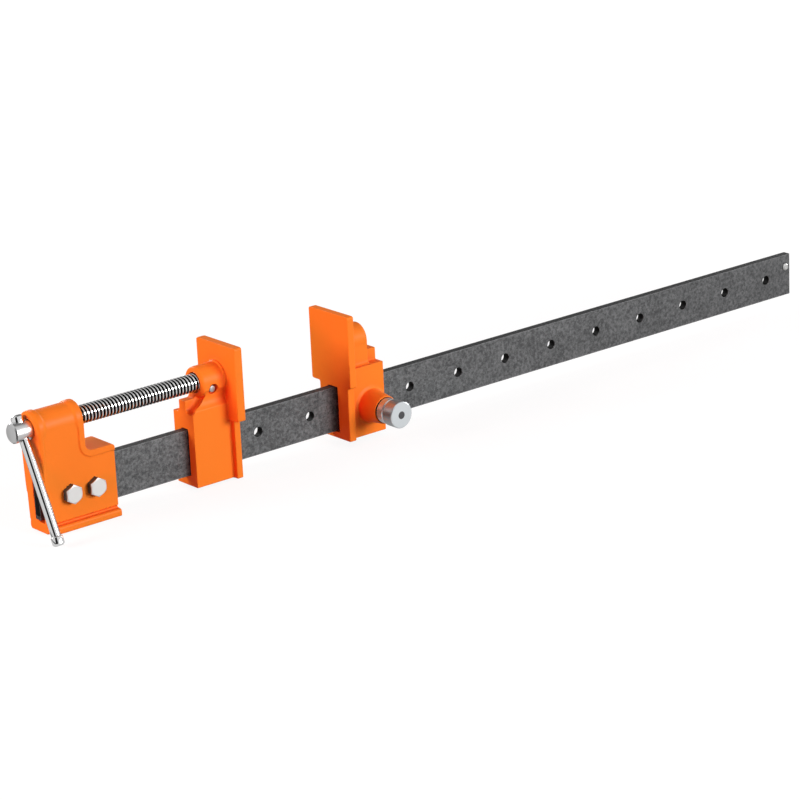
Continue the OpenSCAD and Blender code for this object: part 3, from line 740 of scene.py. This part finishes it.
def floor_material(sizes, apex, ahead, aside):
    """Pale to the camera, the studio's ground in reflections, and dull to all other light."""
    material = bpy.data.materials.new("pale_floor")
    tree = empty_tree(material)
    output = added(tree, "OutputMaterial")
    path = added(tree, "LightPath")
    matt = added(tree, "BsdfDiffuse")
    bounce = (sizes.bounce, sizes.bounce, sizes.bounce)
    shade = mix_colour(tree, path.outputs["Is Camera Ray"], bounce, tuple(sizes.floor))
    tree.links.new(shade.outputs[2], matt.inputs["Color"])
    place = added(tree, "TexCoord")
    moved = added(tree, "VectorMath", operation="SUBTRACT")
    moved.inputs[1].default_value = apex
    tree.links.new(place.outputs["Object"], moved.inputs[0])
    side = studio_side(tree, moved, 0, ahead, aside, sizes)
    glow = added(tree, "Emission")
    lit = mix_colour(tree, path.outputs["Is Glossy Ray"], WHITE, side)
    tree.links.new(lit.outputs[2], glow.inputs["Color"])
    glow.inputs["Strength"].default_value = FLOOR_GLOW
    seen = added(tree, "Math", operation="MAXIMUM")
    tree.links.new(path.outputs["Is Camera Ray"], seen.inputs[0])
    tree.links.new(path.outputs["Is Glossy Ray"], seen.inputs[1])
    part = added(tree, "Math", operation="MULTIPLY")
    part.inputs[1].default_value = FLOOR_GLOW_SHARE
    tree.links.new(seen.outputs[0], part.inputs[0])
    mixed = mix_shader(tree, part.outputs[0], matt, glow)
    tree.links.new(mixed.outputs[0], output.inputs["Surface"])
    return material


def pale_floor(sizes, height, ahead, aside):
    """Wide floor that shows pale to the camera and still takes the clamp's shadow."""
    mesh = bmesh.new()
    bmesh.ops.create_grid(mesh, x_segments=1, y_segments=1, size=6.0)
    bmesh.ops.translate(mesh, verts=mesh.verts, vec=(0.25, 0.0, height))
    data = bpy.data.meshes.new("floor")
    mesh.to_mesh(data)
    mesh.free()
    floor = bpy.data.objects.new("floor", data)
    bpy.context.scene.collection.objects.link(floor)
    data.materials.append(floor_material(sizes, (SCREW_LOW[0], 0.0, 0.0), ahead, aside))


def surround(sizes, ahead, aside):
    """Even light all round, white to the camera, and the studio in reflections."""
    world = bpy.data.worlds.new("surround")
    tree = empty_tree(world)
    output = added(tree, "OutputWorld")
    even = added(tree, "Background")
    even.inputs["Color"].default_value = (*sizes.warmth, 1.0)
    even.inputs["Strength"].default_value = sizes.world
    white = added(tree, "Background")
    white.inputs["Color"].default_value = (*WHITE, 1.0)
    place = added(tree, "TexCoord")
    side = studio_side(tree, place, "Generated", ahead, aside, sizes)
    mirrored = added(tree, "Background")
    tree.links.new(side.outputs[0], mirrored.inputs["Color"])
    path = added(tree, "LightPath")
    glossy = mix_shader(tree, path.outputs["Is Glossy Ray"], even, mirrored)
    mixed = mix_shader(tree, path.outputs["Is Camera Ray"], glossy, white)
    tree.links.new(mixed.outputs[0], output.inputs["Surface"])
    bpy.context.scene.world = world


class CLAMP_OT_stage(ClampOperator, Operator):
    """Camera at the photograph's view, pale floor and soft lamps"""
    bl_idname = "clamp.stage"
    bl_label = "Stage"

    def execute(self, context):
        scene = context.scene
        sizes = scene.clamp_stage
        scene.view_settings.view_transform = "Standard"
        right, up, forward = view_frame(sizes)
        data = bpy.data.cameras.new("camera")
        data.sensor_fit = "HORIZONTAL"
        data.sensor_width = 36.0
        data.lens = sizes.lens
        data.clip_end = 50.0
        camera = bpy.data.objects.new("camera", data)
        turn = Matrix((right, up, -forward)).transposed()
        camera.matrix_world = Matrix.Translation(Vector(sizes.place)) @ turn.to_4x4()
        scene.collection.objects.link(camera)
        scene.camera = camera
        ahead = Vector((forward.x, forward.y, 0.0)).normalized()
        level = Vector((-ahead.y, ahead.x, 0.0))
        aside = -ahead * cos(STRIP_TURN) + level * sin(STRIP_TURN)
        pale_floor(sizes, CAD_BOX[0][2] - FLOOR_GAP, ahead, aside)
        surround(sizes, ahead, aside)
        for lamp in LAMPS:
            softbox(*lamp)
        return {"FINISHED"}


class CLAMP_PT_panel(Panel):
    bl_label = "Flat-bar clamp"
    bl_idname = "CLAMP_PT_panel"
    bl_space_type = "VIEW_3D"
    bl_region_type = "UI"
    bl_category = "Clamp"

    def draw(self, context):
        for title, group, operators in PANEL:
            box = self.layout.box()
            box.label(text=title)
            sizes = getattr(context.scene, group)
            for name in sizes.__annotations__:
                box.prop(sizes, name)
            for operator in operators:
                box.operator(operator)


PANEL = (
    ("Castings", "clamp_castings", ("clamp.castings",)),
    ("Bar", "clamp_bar", ("clamp.bar",)),
    ("Screw and handle", "clamp_screw", ("clamp.screw", "clamp.handle")),
    ("Fittings", "clamp_fittings", ("clamp.fasteners", "clamp.plunger")),
    ("Stage", "clamp_stage", ("clamp.stage",)),
)

GROUPS = {
    "clamp_castings": ClampCastings,
    "clamp_bar": ClampBar,
    "clamp_screw": ClampScrew,
    "clamp_fittings": ClampFittings,
    "clamp_stage": ClampStage,
}

CLASSES = (*GROUPS.values(), CLAMP_OT_castings, CLAMP_OT_bar, CLAMP_OT_screw, CLAMP_OT_handle,
           CLAMP_OT_fasteners, CLAMP_OT_plunger, CLAMP_OT_stage, CLAMP_PT_panel)


def register():
    for each in CLASSES:
        bpy.utils.register_class(each)
    for name, group in GROUPS.items():
        setattr(bpy.types.Scene, name, PointerProperty(type=group))


def unregister():
    for name in GROUPS:
        delattr(bpy.types.Scene, name)
    for each in reversed(CLASSES):
        bpy.utils.unregister_class(each)


def main():
    register()
    bpy.ops.clamp.stage()
    bpy.ops.clamp.castings()
    bpy.ops.clamp.bar()
    bpy.ops.clamp.screw()
    bpy.ops.clamp.handle()
    bpy.ops.clamp.fasteners()
    bpy.ops.clamp.plunger()


if __name__ == "__main__":
    main()
